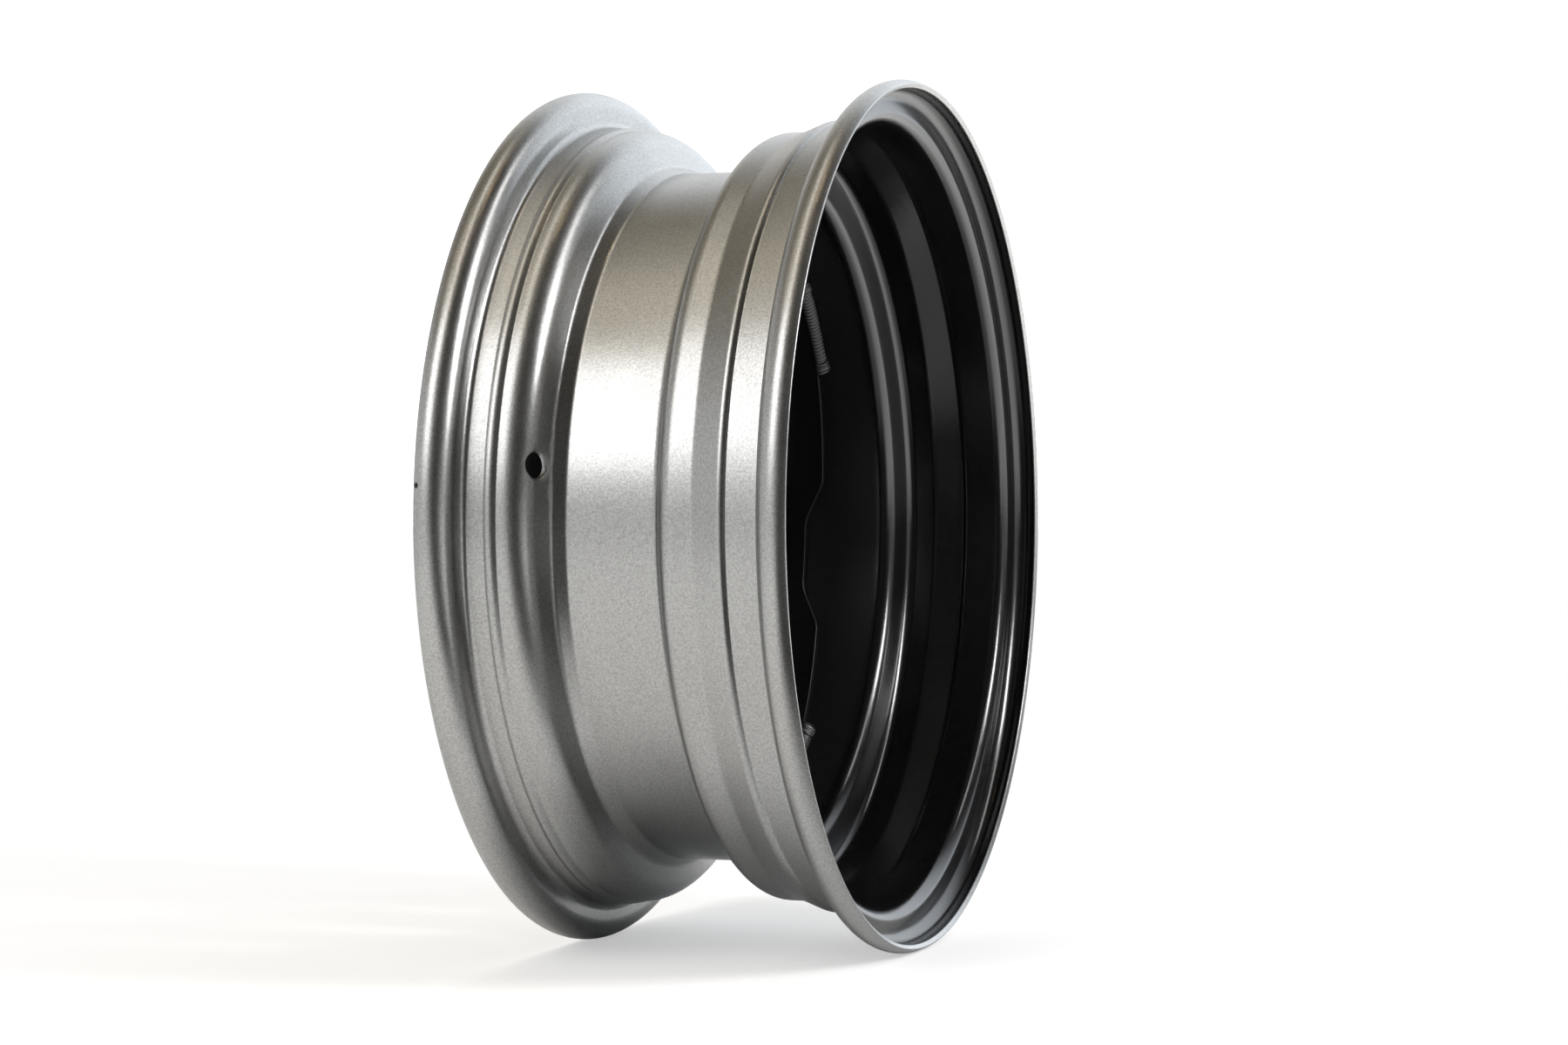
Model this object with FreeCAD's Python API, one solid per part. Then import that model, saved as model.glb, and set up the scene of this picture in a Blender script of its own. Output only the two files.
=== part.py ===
import FreeCAD, Part
import math
import os

from FreeCAD import Vector

# Steel car wheel: a rolled drop-centre rim and a pressed disc, joined by four fillet welds.
# The spin axis is Y and the origin lies on it, midway between the two lip edges.
# Negative Y is outboard, the side that shows on the car. Positive Y is inboard, the brake side.
# Angles round the axis run from +X towards +Z. Lengths are millimetres, angles degrees.

# Rim, overall. Each flange curls over a crest and its lip falls again towards the edge
bead_seat_diameter = 380.2
rim_width = 141.2
flange_height = 17.5
lip_width = 15.9
lip_fall = 34.0
lip_bend = 7.0
rim_sheet = 2.8
bead_taper = 5.0
heel_bend = 3.5

# Rim, outboard half, listed from the flange face inwards
out_seat_width = 10.25
out_hump_rise_width = 2.75
out_hump_height = 0.6
out_hump_fall_width = 3.0
out_hump_drop = 1.6
out_ledge_width = 11.5
out_ledge_rise = 0.4
out_shoulder_bend = 11.0
out_wall_lean = 19.7
out_foot_width = 6.3
out_foot_height = 3.3
out_foot_bend = 4.0

# Rim, inboard half, listed from the flange face inwards
in_seat_width = 17.95
in_hump_fall_width = 2.0
in_hump_height = 1.7
in_ramp_width = 14.85
in_ledge_width = 16.0
in_ledge_height = 17.95
in_ramp_bend = 6.0
in_shoulder_bend = 5.5
in_wall_lean = 17.5
in_foot_bend = 5.0

# Rim, shared by both halves
well_diameter = 333.5
hump_bend = 2.4
crease_bend = 1.5

# Valve hole, square to the outboard wall of the well, at that share of it from shoulder to foot
valve_hole_diameter = 11.5
valve_angle = 7.4
valve_place = 0.55
valve_seat_diameter = 13.8
valve_seat_depth = 0.4
valve_bevel = 0.8

# Disc
disc_sheet = 3.8
wheel_offset = 40.0
centre_bore_diameter = 67.1
collar_length = 9.0
collar_bend = 3.0
hub_face_diameter = 152.0
hub_bend = 8.0
crown_diameter = 217.0
crown_height = 24.0
crown_bend = 9.0
brow_drop = 4.0
brow_bend = 11.0
skirt_land = 14.0

# Vent holes, punched between the crown and the brow
vent_count = 10
vent_diameter = 24.0
vent_circle_diameter = 264.0

# Lug holes in raised pads with a conical nut seat
lug_count = 5
lug_circle_diameter = 114.3
lug_hole_diameter = 14.0
lug_seat_diameter = 19.5
lug_seat_cone = 60.0
lug_pad_diameter = 28.0
lug_pad_top_diameter = 24.0
lug_pad_height = 2.4

# Skirt lobes: each lobe ends in a weld and the notches between them let air through
lobe_count = 4
notch_depth = 13.5
notch_mouth_width = 75.5
notch_floor_width = 36.0
notch_floor_round = 20.0
notch_corner_round = 10.0
lobe_fall = 3.5

# Fillet welds on the lobe edges
weld_angle = 17.5
weld_leg = 5.0
weld_end_radius = 6.2

# Construction
tool_overrun = 5.0
AXIS = Vector(0, 1, 0)
ORIGIN = Vector(0, 0, 0)


def unit(start, end):
    """Unit direction from one (axial, radial) point to another."""
    length = math.dist(start, end)
    return ((end[0] - start[0]) / length, (end[1] - start[1]) / length)


def turn_between(first, second):
    """Signed angle from one direction to the next, positive to the left."""
    cross = first[0] * second[1] - first[1] * second[0]
    dot = first[0] * second[0] + first[1] * second[1]
    return math.atan2(cross, dot)


def offset_points(points, distance):
    """Corners of the open line that runs parallel to `points` on its right-hand side."""
    directions = [unit(a, b) for a, b in zip(points, points[1:])]
    shifted = []
    for index, point in enumerate(points):
        before = directions[max(index - 1, 0)]
        after = directions[min(index, len(directions) - 1)]
        half = turn_between(before, after) / 2
        middle = (before[0] + after[0], before[1] + after[1])
        size = math.hypot(*middle)
        right = (middle[1] / size, -middle[0] / size)
        reach = distance / math.cos(half)
        shifted.append((point[0] + right[0] * reach, point[1] + right[1] * reach))
    return shifted


def rounded_outline(points, radii, place):
    """Closed wire through `points` with every corner that has a radius turned into an arc.

    A radius is limited to what the two sides at its corner have room for.
    """
    count = len(points)
    tangents = []
    for index in range(count):
        before = unit(points[index - 1], points[index])
        after = unit(points[index], points[(index + 1) % count])
        half = abs(turn_between(before, after)) / 2
        tangents.append(radii[index] * math.tan(half))
    edges = []
    ends = []
    for index, corner in enumerate(points):
        previous = points[index - 1]
        following = points[(index + 1) % count]
        wanted = tangents[index]
        share = 1.0
        for other, near in ((index - 1, previous), ((index + 1) % count, following)):
            taken = wanted + tangents[other]
            if taken > 0:
                share = min(share, math.dist(corner, near) / taken)
        length = wanted * share
        into = unit(previous, corner)
        out = unit(corner, following)
        start = (corner[0] - into[0] * length, corner[1] - into[1] * length)
        end = (corner[0] + out[0] * length, corner[1] + out[1] * length)
        ends.append((start, end))
        half = abs(turn_between(into, out)) / 2
        if length > 1e-6 and half > 1e-6:
            radius = length / math.tan(half)
            inwards = unit(corner, ((start[0] + end[0]) / 2, (start[1] + end[1]) / 2))
            sag = radius / math.cos(half) - radius
            middle = (corner[0] + inwards[0] * sag, corner[1] + inwards[1] * sag)
            edges.append((index, Part.Arc(place(start), place(middle), place(end)).toShape()))
    arcs = dict(edges)
    ordered = []
    for index in range(count):
        if index in arcs:
            ordered.append(arcs[index])
        leave = place(ends[index][1])
        arrive = place(ends[(index + 1) % count][0])
        if leave.distanceToPoint(arrive) > 1e-6:
            ordered.append(Part.LineSegment(leave, arrive).toShape())
    return Part.Wire(ordered)


def profile_point(point):
    """Place an (axial, radial) point in the half-plane that is turned round the axis."""
    return Vector(point[1], point[0], 0)


def sheet_solid(line, bends, thickness):
    """Turn a bent sheet round the axis. `line` is its outer side, `bends` its inside bend radii."""
    other = offset_points(line, thickness)
    line_radii = []
    other_radii = []
    for index, bend in enumerate(bends):
        if index in (0, len(line) - 1):
            turn = 0.0
        else:
            turn = turn_between(unit(line[index - 1], line[index]), unit(line[index], line[index + 1]))
        line_radii.append(bend + (thickness if turn < 0 else 0.0) if bend else 0.0)
        other_radii.append(bend + (thickness if turn > 0 else 0.0) if bend else 0.0)
    outline = rounded_outline(line + other[::-1], line_radii + other_radii[::-1], profile_point)
    return Part.Face(outline).revolve(ORIGIN, AXIS, 360)


def turned(shape, angle):
    """Copy of `shape` turned round the axis by `angle`, from +X towards +Z."""
    copy = shape.copy()
    copy.rotate(ORIGIN, AXIS, -angle)
    return copy


# Rim corners, tyre side, from the outboard lip to the inboard lip
seat_radius = bead_seat_diameter / 2
flange_radius = seat_radius + flange_height
well_radius = well_diameter / 2
half_width = rim_width / 2
lip_edge = half_width + lip_width
lip_turn = math.radians(90 + lip_fall)
lip_root = flange_radius + (lip_bend + rim_sheet) * (math.tan(lip_turn / 2) - 1)
lip_end = lip_root - lip_width * math.tan(math.radians(lip_fall))
taper = math.tan(math.radians(bead_taper))

out_seat_end = (-half_width + out_seat_width, seat_radius - out_seat_width * taper)
out_crest = (out_seat_end[0] + out_hump_rise_width, out_seat_end[1] + out_hump_height)
out_crease = (out_crest[0] + out_hump_fall_width, out_crest[1] - out_hump_drop)
out_shoulder = (out_crease[0] + out_ledge_width, out_crease[1] + out_ledge_rise)
out_foot_radius = well_radius + out_foot_height
out_wall_run = (out_shoulder[1] - out_foot_radius) * math.tan(math.radians(out_wall_lean))
out_foot = (out_shoulder[0] + out_wall_run, out_foot_radius)
well_start = (out_foot[0] + out_foot_width, well_radius)

in_seat_end = (half_width - in_seat_width, seat_radius - in_seat_width * taper)
in_crest = (in_seat_end[0] - in_hump_fall_width, in_seat_end[1] + in_hump_height)
in_ledge_radius = well_radius + in_ledge_height
in_ramp_foot = (in_crest[0] - in_ramp_width, in_ledge_radius)
in_shoulder = (in_ramp_foot[0] - in_ledge_width, in_ledge_radius)
in_wall_run = in_ledge_height * math.tan(math.radians(in_wall_lean))
well_end = (in_shoulder[0] - in_wall_run, well_radius)

rim_line = [
    ((-lip_edge, lip_end), 0.0),
    ((-half_width, lip_root), lip_bend),
    ((-half_width, seat_radius), heel_bend),
    (out_seat_end, hump_bend),
    (out_crest, hump_bend),
    (out_crease, crease_bend),
    (out_shoulder, out_shoulder_bend),
    (out_foot, out_foot_bend),
    (well_start, out_foot_bend),
    (well_end, in_foot_bend),
    (in_shoulder, in_shoulder_bend),
    (in_ramp_foot, in_ramp_bend),
    (in_crest, hump_bend),
    (in_seat_end, crease_bend),
    ((half_width, seat_radius), heel_bend),
    ((half_width, lip_root), lip_bend),
    ((lip_edge, lip_end), 0.0),
]

# Places that the disc and the welds take from the rim
well_inner_radius = well_radius - rim_sheet
skirt_edge = well_start[0] + skirt_land


def valve_tools():
    """Hole, flat seat and bevel for the valve, at angle zero."""
    lean = math.radians(out_wall_lean)
    axial = out_shoulder[0] + (out_foot[0] - out_shoulder[0]) * valve_place
    radial = out_shoulder[1] + (out_foot[1] - out_shoulder[1]) * valve_place
    middle = profile_point((axial, radial))
    outwards = Vector(math.sin(lean), math.cos(lean), 0)
    through = rim_sheet + tool_overrun
    hole = Part.makeCylinder(valve_hole_diameter / 2, 2 * through, middle - outwards * through, outwards)
    seat_start = middle - outwards * valve_seat_depth
    seat = Part.makeCylinder(valve_seat_diameter / 2, tool_overrun, seat_start, outwards)
    bevel_start = seat_start - outwards * valve_bevel
    narrow = valve_hole_diameter / 2
    bevel = Part.makeCone(narrow, narrow + valve_bevel, valve_bevel, bevel_start, outwards)
    return hole.fuse([seat, bevel])


def make_rim():
    line = [corner for corner, _ in rim_line]
    bends = [bend for _, bend in rim_line]
    return sheet_solid(line, bends, rim_sheet).cut(turned(valve_tools(), valve_angle))


def notch_tool():
    """Cutter for one notch between two lobes, centred on angle zero."""
    weld_gap = math.radians(360 / lobe_count - weld_angle) / 2
    lobe_reach = well_inner_radius * math.sin(weld_gap)
    shoulder = skirt_edge - lobe_fall
    floor = skirt_edge - notch_depth
    above = skirt_edge + tool_overrun
    half = [
        ((lobe_reach, above), 0.0),
        ((lobe_reach, skirt_edge), 0.0),
        ((notch_mouth_width / 2, shoulder), notch_corner_round),
        ((notch_floor_width / 2, floor), notch_floor_round),
    ]
    mirrored = [((-x, y), radius) for (x, y), radius in reversed(half)]
    corners = half + mirrored
    start = well_inner_radius * math.cos(weld_gap) - disc_sheet - tool_overrun
    length = well_inner_radius + tool_overrun - start
    outline = rounded_outline(
        [point for point, _ in corners],
        [radius for _, radius in corners],
        lambda point: Vector(start, point[1], point[0]),
    )
    return Part.Face(outline).extrude(Vector(length, 0, 0))


def lug_tools():
    """Raised pad and the tool for one lug hole with its nut seat, at angle zero."""
    circle = lug_circle_diameter / 2
    outboard = Vector(0, -1, 0)
    hub_front = -wheel_offset - disc_sheet
    pad = Part.makeCone(
        lug_pad_diameter / 2,
        lug_pad_top_diameter / 2,
        lug_pad_height,
        Vector(circle, hub_front, 0),
        outboard,
    )
    through = disc_sheet + lug_pad_height + 2 * tool_overrun
    hole_start = Vector(circle, -wheel_offset + tool_overrun, 0)
    hole = Part.makeCylinder(lug_hole_diameter / 2, through, hole_start, outboard)
    slope = math.tan(math.radians(lug_seat_cone / 2))
    seat_depth = (lug_seat_diameter - lug_hole_diameter) / 2 / slope
    seat_start = Vector(circle, hub_front - lug_pad_height + seat_depth, 0)
    seat = Part.makeCone(lug_hole_diameter / 2, lug_seat_diameter / 2, seat_depth, seat_start, outboard)
    return pad, hole.fuse(seat)


def vent_tool():
    """Punch for one vent hole, at angle zero."""
    start = Vector(vent_circle_diameter / 2, -wheel_offset, 0)
    length = disc_sheet + crown_height + tool_overrun
    return Part.makeCylinder(vent_diameter / 2, length, start, Vector(0, -1, 0))


def make_disc():
    collar_radius = centre_bore_diameter / 2 + disc_sheet
    hub_front = -wheel_offset - disc_sheet
    crown = hub_front - crown_height
    line = [
        ((hub_front - collar_length, collar_radius), 0.0),
        ((hub_front, collar_radius), collar_bend),
        ((hub_front, hub_face_diameter / 2), hub_bend),
        ((crown, crown_diameter / 2), crown_bend),
        ((crown + brow_drop, well_inner_radius), brow_bend),
        ((skirt_edge, well_inner_radius), 0.0),
    ]
    disc = sheet_solid([corner for corner, _ in line], [bend for _, bend in line], disc_sheet)
    pad, hole = lug_tools()
    lug_angles = [valve_angle + 360 / lug_count * index for index in range(lug_count)]
    disc = disc.fuse([turned(pad, angle) for angle in lug_angles])
    disc = disc.cut([turned(hole, angle) for angle in lug_angles])
    vent = vent_tool()
    vent_pitch = 360 / vent_count
    disc = disc.cut([turned(vent, valve_angle + vent_pitch * (index + 0.5)) for index in range(vent_count)])
    notch = notch_tool()
    lobe_pitch = 360 / lobe_count
    return disc.cut([turned(notch, valve_angle + lobe_pitch * index) for index in range(lobe_count)])


def make_weld():
    """One weld bead in the corner between the skirt edge and the well, from angle zero."""
    corner = Vector(well_inner_radius, skirt_edge, 0)
    circle = Part.Wire(Part.makeCircle(weld_leg, corner, Vector(0, 0, 1)))
    bead = Part.Face(circle).revolve(ORIGIN, AXIS, -weld_angle)
    ends = [turned(Part.makeSphere(weld_end_radius, corner), angle) for angle in (0, weld_angle)]
    room_length = weld_end_radius + tool_overrun
    base = Vector(0, skirt_edge, 0)
    room = Part.makeCylinder(well_inner_radius, room_length, base, AXIS)
    return bead.fuse(ends).common(room).removeSplitter()


os.makedirs("parts", exist_ok=True)
make_rim().exportStep("parts/rim.step")
make_disc().exportStep("parts/wheel_disc.step")
weld = make_weld()
for number in range(lobe_count):
    lobe_middle = valve_angle + 360 / lobe_count * (number + 0.5)
    turned(weld, lobe_middle - weld_angle / 2).exportStep(f"parts/disc_weld_{number + 1}.step")
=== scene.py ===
import bisect
import math
from collections import namedtuple

import bmesh
import bpy
from mathutils import Matrix, Vector


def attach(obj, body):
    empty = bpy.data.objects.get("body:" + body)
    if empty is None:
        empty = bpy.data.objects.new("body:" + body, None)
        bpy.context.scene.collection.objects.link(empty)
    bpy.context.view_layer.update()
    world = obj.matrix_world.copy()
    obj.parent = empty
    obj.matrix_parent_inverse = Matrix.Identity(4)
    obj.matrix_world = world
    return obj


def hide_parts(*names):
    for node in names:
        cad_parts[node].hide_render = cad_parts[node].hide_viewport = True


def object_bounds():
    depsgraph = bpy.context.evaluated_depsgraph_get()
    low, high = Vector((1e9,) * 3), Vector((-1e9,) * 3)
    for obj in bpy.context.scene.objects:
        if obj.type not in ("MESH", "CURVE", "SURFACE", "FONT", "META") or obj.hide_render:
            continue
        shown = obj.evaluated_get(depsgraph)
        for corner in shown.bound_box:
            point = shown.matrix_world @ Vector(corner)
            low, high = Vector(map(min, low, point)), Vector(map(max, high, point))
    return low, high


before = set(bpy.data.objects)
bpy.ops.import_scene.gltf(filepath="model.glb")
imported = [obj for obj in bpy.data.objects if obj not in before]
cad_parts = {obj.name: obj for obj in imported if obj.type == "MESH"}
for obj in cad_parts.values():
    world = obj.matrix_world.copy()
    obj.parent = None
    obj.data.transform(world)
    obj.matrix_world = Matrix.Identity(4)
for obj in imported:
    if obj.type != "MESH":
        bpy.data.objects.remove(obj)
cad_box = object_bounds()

# Steel car wheel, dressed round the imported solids. The spin axis is Y, outboard is -Y and up is +Z.
# Lengths are metres. Angles round the axis run from +X towards +Z.

scene = bpy.context.scene
scene.view_settings.view_transform = "Standard"

# Rim sizes, the same as the solid's
rim_sheet = 0.0028
seat_radius = 0.1901
half_width = 0.0706
flange_height = 0.0175
lip_width = 0.0159
lip_fall = math.radians(34.0)
lip_bend = 0.007
heel_bend = 0.0035
bead_taper = math.radians(5.0)
out_seat_width = 0.01025
out_hump_rise_width = 0.00275
out_hump_height = 0.0006
out_hump_fall_width = 0.003
out_hump_drop = 0.0016
out_ledge_width = 0.0115
out_ledge_rise = 0.0004
out_shoulder_bend = 0.011
out_wall_lean = math.radians(19.7)
out_foot_width = 0.0063
out_foot_height = 0.0033
out_foot_bend = 0.004
in_seat_width = 0.01795
in_hump_fall_width = 0.002
in_hump_height = 0.0017
in_ramp_width = 0.01485
in_ledge_width = 0.016
in_ledge_height = 0.01795
in_ramp_bend = 0.006
in_shoulder_bend = 0.0055
in_wall_lean = math.radians(17.5)
in_foot_bend = 0.005
well_radius = 0.16675
hump_bend = 0.0024
crease_bend = 0.0015

# Valve hole sizes, the same as the solid's. Its place is a share of the wall from the shoulder to the foot
valve_angle = math.radians(7.4)
valve_place = 0.55
valve_radius = 0.00575
valve_seat_radius = 0.0069
valve_seat_depth = 0.0004
valve_bevel = 0.0008

# Disc sizes, the same as the solid's
disc_sheet = 0.0038
hub_face = -0.04
bore_radius = 0.03355
collar_length = 0.009
collar_bend = 0.003
hub_face_radius = 0.076
hub_bend = 0.008
crown_radius = 0.1085
crown_height = 0.024
crown_bend = 0.009
brow_drop = 0.004
brow_bend = 0.011
skirt_land = 0.014
vent_count = 10
vent_radius = 0.012
vent_circle = 0.132
lug_count = 5
lug_circle = 0.05715
lug_hole_radius = 0.007
lug_seat_radius = 0.00975
lug_seat_slope = math.tan(math.radians(30.0))
lug_pad_radius = 0.014
lug_pad_top_radius = 0.012
lug_pad_height = 0.0024
lobe_count = 4
notch_depth = 0.0135
notch_mouth = 0.03775
notch_floor = 0.018
notch_floor_round = 0.02
notch_corner_round = 0.01
lobe_fall = 0.0035

# Weld sizes, the same as the solid's
weld_span = math.radians(17.5)
weld_leg = 0.005
weld_end_radius = 0.0062

# Ripples and uneven run of the welds. Each fades in over its own length, and the turns set the welds apart.
# The bead is sunk a little into its corner and set a little lower than the solid
weld_embed = 0.0003
weld_inset = 0.0003
weld_flatness = 0.1
ripple_pitch = 0.0021
ripple_height = 0.00022
ripple_turn = 0.37
ripple_fade = 0.002
ripple_lead = 0.0009
lead_fade = 0.004
drift_length = 0.011
drift_height = 0.0003
drift_turn = 1.7
drift_fade = 0.01

# Broken edges of the sheets and holes, which the solids leave sharp
rim_edge_round = 0.0006
disc_edge_round = 0.0007
valve_edge_round = 0.0003
pad_foot_run = 0.0006
edge_run = 0.0005
edge_drop = 0.0004
edge_short = 0.0003
edge_shorter = 0.0002
edge_nick = 0.0001

# How finely the pieces are cut
rim_columns = 360
disc_columns = 720
arc_step = math.radians(9.0)
fine_arc_step = math.radians(0.5)
notch_arc_step = math.radians(3.0)
rim_line_step = 0.008
fine_line_step = 0.001
disc_line_step = 0.0034
notch_line_step = 0.002
edge_slack = 0.0004
level_slack = 0.0001
shortest_line = 1e-7
weld_stations = 260
weld_section_steps = 14

# Patches of the grids that are left open round the holes. A patch is filled by rings at these shares of the
# way from its border to the hole
valve_patch_reach = 0.0125
valve_seat_margin = 0.0012
valve_back_ratio = 1.2
valve_front_shares = (0.3, 0.6, 0.85, 1.0)
valve_back_shares = (0.4, 0.8)
lug_patch_reach = 0.0178
lug_patch_spread = math.radians(16.5)
vent_patch_reach = 0.0162
vent_patch_spread = math.radians(7.0)
vent_margin = 0.001
hole_front_shares = (0.35, 0.7)
hole_back_shares = (0.8, 0.55, 0.25)

# Chip in the paint of the outboard lip
chip_angle = math.radians(3.9)
chip_inset = 0.002
chip_rise = 0.0012
chip_size = 0.0016
chip_core = 0.6

# Places of the paints in a piece's list
SILVER = 0
BLACK = 1
ONLY_PAINT = 0


def unit(start, end):
    """Unit direction from one flat point to another."""
    length = math.dist(start, end)
    return ((end[0] - start[0]) / length, (end[1] - start[1]) / length)


def turn_between(first, second):
    """Signed angle from one direction to the next, positive to the left."""
    cross = first[0] * second[1] - first[1] * second[0]
    dot = first[0] * second[0] + first[1] * second[1]
    return math.atan2(cross, dot)


def offset_points(points, distance):
    """Corners of the open line that runs parallel to `points` on its right-hand side."""
    directions = [unit(a, b) for a, b in zip(points, points[1:])]
    shifted = []
    for index, point in enumerate(points):
        before = directions[max(index - 1, 0)]
        after = directions[min(index, len(directions) - 1)]
        half = turn_between(before, after) / 2
        middle = (before[0] + after[0], before[1] + after[1])
        size = math.hypot(*middle)
        reach = distance / math.cos(half)
        shifted.append((point[0] + middle[1] / size * reach, point[1] - middle[0] / size * reach))
    return shifted


def sheet_corners(bent_line, thickness, edge_round):
    """Corners and radii round a bent sheet's section: the given side, then the other side backwards."""
    line = [corner for corner, _ in bent_line]
    other = offset_points(line, thickness)
    radii = []
    other_radii = []
    for index, (_, bend) in enumerate(bent_line):
        if index in (0, len(line) - 1):
            radii.append(edge_round)
            other_radii.append(edge_round)
            continue
        turn = turn_between(unit(line[index - 1], line[index]), unit(line[index], line[index + 1]))
        radii.append(bend + (thickness if turn < 0 else 0.0))
        other_radii.append(bend + (thickness if turn > 0 else 0.0))
    return line + other[::-1], radii + other_radii[::-1]


def corner_lengths(corners, radii, halves):
    """How far each round corner reaches along its sides, shortened where two corners would overlap."""
    wanted = [radius * math.tan(abs(half)) for radius, half in zip(radii, halves)]
    lengths = []
    for index, corner in enumerate(corners):
        share = 1.0
        for other in (index - 1, (index + 1) % len(corners)):
            taken = wanted[index] + wanted[other]
            if taken > 0:
                share = min(share, math.dist(corner, corners[other]) / taken)
        lengths.append(wanted[index] * share)
    return lengths


def line_stops(length, line_step):
    """Stops along a straight side: its start, and steps that keep clear of both ends."""
    stops = [0.0]
    if length > 4 * edge_slack:
        inner = length - 2 * edge_slack
        pieces = max(1, math.ceil(inner / line_step))
        stops += [edge_slack + inner * number / pieces for number in range(pieces + 1)]
    return stops


def walk_outline(corners, radii, step, line_step):
    """Samples round a closed outline: (distance along it, first, second, corner index, on an arc)."""
    count = len(corners)
    sides = [unit(corner, corners[(index + 1) % count]) for index, corner in enumerate(corners)]
    halves = [turn_between(sides[index - 1], sides[index]) / 2 for index in range(count)]
    lengths = corner_lengths(corners, radii, halves)
    samples = []
    travelled = 0.0
    for index, corner in enumerate(corners):
        following = (index + 1) % count
        into = sides[index - 1]
        out = sides[index]
        half = halves[index]
        length = lengths[index]
        start = (corner[0] - into[0] * length, corner[1] - into[1] * length)
        radius = length / math.tan(abs(half)) if length > 0 and half else 0.0
        hand = 1.0 if half > 0 else -1.0
        centre = (start[0] - into[1] * radius * hand, start[1] + into[0] * radius * hand)
        arm = (start[0] - centre[0], start[1] - centre[1])
        steps = max(1, math.ceil(2 * abs(half) / step)) if radius > 0 else 0
        for number in range(steps):
            swing = 2 * half * number / steps
            turned = (
                arm[0] * math.cos(swing) - arm[1] * math.sin(swing),
                arm[0] * math.sin(swing) + arm[1] * math.cos(swing),
            )
            place = (centre[0] + turned[0], centre[1] + turned[1])
            samples.append((travelled + radius * abs(swing), *place, index, True))
        travelled += radius * 2 * abs(half)
        straight = math.dist(corner, corners[following]) - length - lengths[following]
        if straight < shortest_line:
            continue
        for stop in line_stops(straight, line_step):
            along = length + stop
            place = (corner[0] + out[0] * along, corner[1] + out[1] * along)
            samples.append((travelled + stop, *place, index, False))
        travelled += straight
    return samples


def section_point(samples, distance):
    """Place on a finely cut outline at that distance along it."""
    stops = [sample[0] for sample in samples]
    index = min(max(bisect.bisect_right(stops, distance) - 1, 0), len(samples) - 2)
    first = samples[index]
    second = samples[index + 1]
    share = (distance - first[0]) / max(second[0] - first[0], shortest_line)
    return (first[1] + (second[1] - first[1]) * share, first[2] + (second[2] - first[2]) * share)


def nearest_distance(samples, place):
    """Distance along the outline of the sample nearest to a place."""
    return min(samples, key=lambda sample: math.dist((sample[1], sample[2]), place))[0]


def place_at(axial, radial, angle):
    """Point in the frame at that axial and radial place and angle round the axis."""
    return Vector((radial * math.cos(angle), axial, radial * math.sin(angle)))


def sideways_at(angle):
    """Direction round the axis at that angle."""
    return Vector((-math.sin(angle), 0.0, math.cos(angle)))


def smooth(value, span):
    """Soft step from 0 to 1 while the value goes from 0 to the span."""
    share = min(1.0, max(0.0, value / span))
    return share * share * (3 - 2 * share)


class Shell:
    """Collects the points and faces of one piece."""

    def __init__(self):
        self.points = []
        self.faces = []
        self.paints = []

    def ring(self, places):
        """Add points, and give their numbers."""
        first = len(self.points)
        self.points.extend(places)
        return list(range(first, len(self.points)))

    def face(self, corners, paint):
        self.faces.append(corners)
        self.paints.append(paint)

    def join(self, first, second, paint):
        """Band of faces between two closed rings of the same count."""
        for index in range(len(first)):
            after = (index + 1) % len(first)
            self.face((first[index], first[after], second[after], second[index]), paint)

    def bridge(self, rings, paint):
        """Bands of faces from each ring to the next."""
        for first, second in zip(rings, rings[1:]):
            self.join(first, second, paint)

    def build(self, name, materials):
        """Smooth mesh object without the points that no face uses."""
        mesh = bpy.data.meshes.new(name)
        mesh.from_pydata(self.points, [], self.faces)
        for material in materials:
            mesh.materials.append(material)
        mesh.polygons.foreach_set("material_index", self.paints)
        mesh.polygons.foreach_set("use_smooth", [True] * len(self.faces))
        work = bmesh.new()
        work.from_mesh(mesh)
        loose = [vertex for vertex in work.verts if not vertex.link_faces]
        bmesh.ops.delete(work, geom=loose, context="VERTS")
        bmesh.ops.recalc_face_normals(work, faces=work.faces[:])
        work.to_mesh(mesh)
        work.free()
        piece = bpy.data.objects.new(name, mesh)
        scene.collection.objects.link(piece)
        return piece


def turn_section(shell, samples, columns, paints, holes, move=None):
    """Turn a closed section round the axis. `holes` are the (row, row, column, column) boxes left open."""
    angles = [2 * math.pi * column / columns for column in range(columns)]
    grid = []
    for _, axial, radial, _, _ in samples:
        row = []
        for angle in angles:
            shift = move(axial, radial, angle) if move else 0.0
            row.append(place_at(axial + shift, radial, angle))
        grid.append(shell.ring(row))
    rows = len(samples)
    for row in range(rows):
        below = (row + 1) % rows
        for column in range(columns):
            in_hole = any(
                top <= row < bottom and (column - left) % columns < right - left
                for top, bottom, left, right in holes
            )
            if in_hole:
                continue
            after = (column + 1) % columns
            corners = (grid[row][column], grid[row][after], grid[below][after], grid[below][column])
            shell.face(corners, paints[row])
    return grid


def box_border(first_row, last_row, first_column, last_column):
    """Rows and columns round the border of a grid box, in order."""
    border = [(first_row, column) for column in range(first_column, last_column)]
    border += [(row, last_column) for row in range(first_row, last_row)]
    border += [(last_row, column) for column in range(last_column, first_column, -1)]
    border += [(row, first_column) for row in range(last_row, first_row, -1)]
    return border


def other_border(border, box, other_box):
    """The same border on the other side of the sheet, where the rows run backwards."""
    return [(other_box[1] - (row - box[0]), column) for row, column in border]


def grid_ring(grid, border):
    """Point numbers along a border of a turned grid."""
    return [grid[row][column % len(grid[row])] for row, column in border]


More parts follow.
